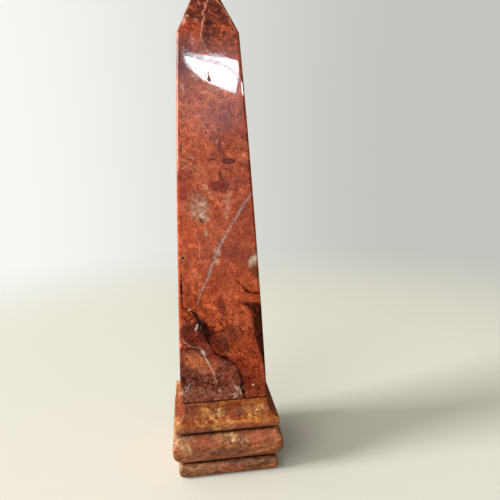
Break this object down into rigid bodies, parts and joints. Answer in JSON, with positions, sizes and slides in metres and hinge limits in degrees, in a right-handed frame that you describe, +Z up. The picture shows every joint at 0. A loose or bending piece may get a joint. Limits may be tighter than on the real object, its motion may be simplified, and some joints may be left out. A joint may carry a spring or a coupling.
{
  "type": "table obelisk ornament",
  "caption": "Table obelisk of polished red stone: a tapered square shaft with a pyramid point, on a stack of moulded square slabs.",
  "frame": {"origin": "on the table, under the middle of the square base", "axes": "+Z up the shaft, -Y towards the front face that the picture shows, +X to that face's right"},
  "size_m": [0.0858, 0.0858, 0.3759],
  "materials": {
    "base_stone": "honed red marble, satin",
    "cove_stone": "honed red and gold mottled marble, satin",
    "shaft_stone": "polished red marble with pale veins, glossy",
    "cement": "dark set adhesive, matte"
  },
  "bodies": {
    "root": {"foot_slab": "base_stone", "foot_bed": "cement", "roll_slab": "base_stone", "roll_bed": "cement", "cove_slab": "cove_stone", "shaft_bed": "cement", "shaft": "shaft_stone"}
  },
  "joints": []
}
